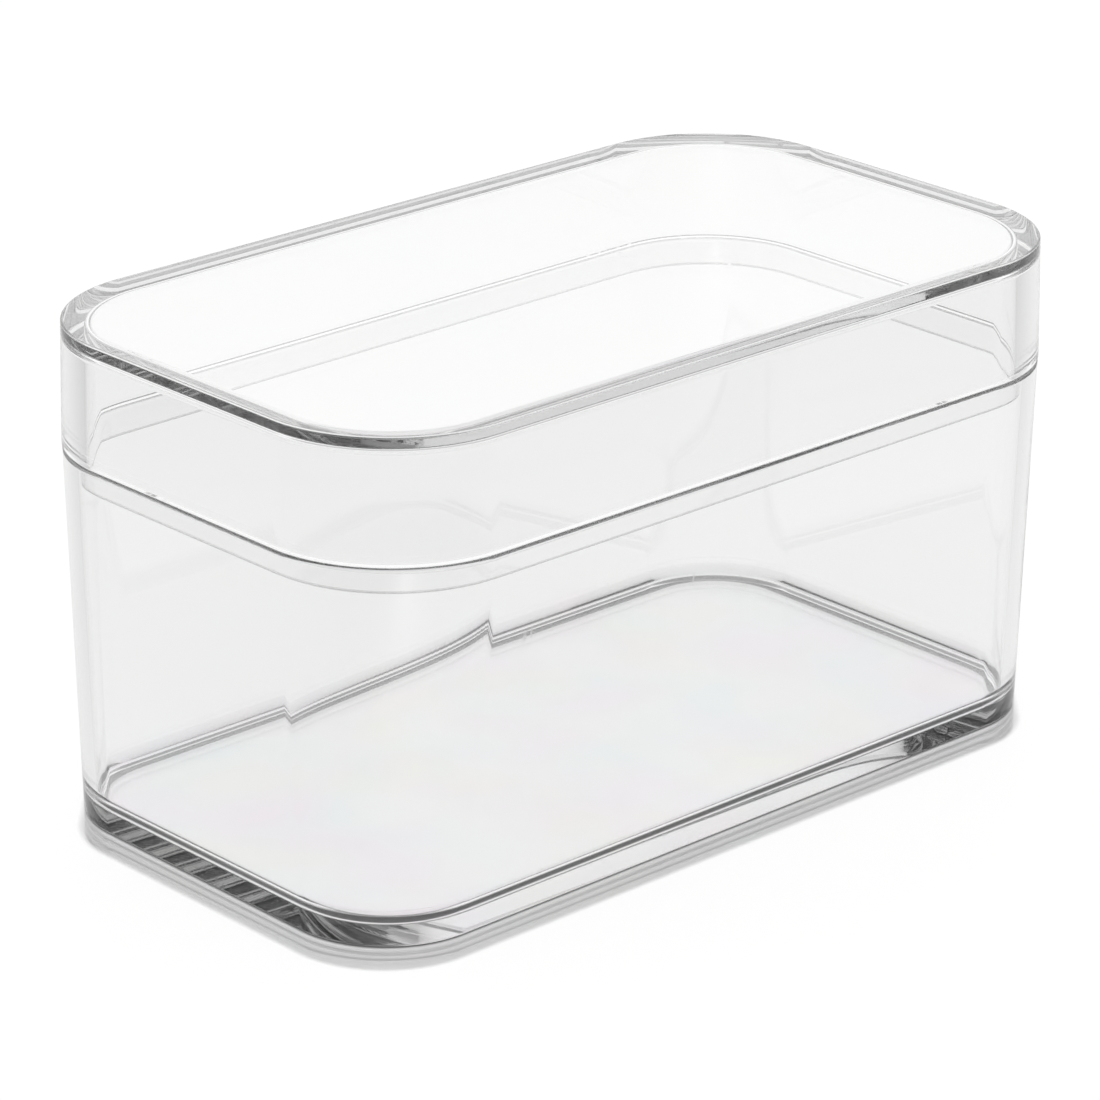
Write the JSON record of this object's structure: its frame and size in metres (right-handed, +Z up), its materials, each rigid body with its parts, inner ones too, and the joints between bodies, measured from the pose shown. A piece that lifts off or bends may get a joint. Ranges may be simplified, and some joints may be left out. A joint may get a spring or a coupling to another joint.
{
  "type": "plastic rectangular container",
  "caption": "Clear moulded plastic box with rounded upright corners and a deep lift-off lid that plugs into it with a thin lip.",
  "frame": {"origin": "middle of the flat underside", "axes": "+X along the long side, +Y along the short side, +Z up through the lid"},
  "size_m": [0.175, 0.1016, 0.0928],
  "materials": {
    "container_plastic": "clear, polished",
    "lid_plastic": "clear, polished"
  },
  "bodies": {
    "container": {"container": "container_plastic"},
    "lid": {"lid": "lid_plastic"}
  },
  "joints": [
    {"name": "lid_lift", "type": "slide", "parent": "container", "child": "lid", "axis": [0, 0, 1], "range_m": [0, 0.1]}
  ]
}
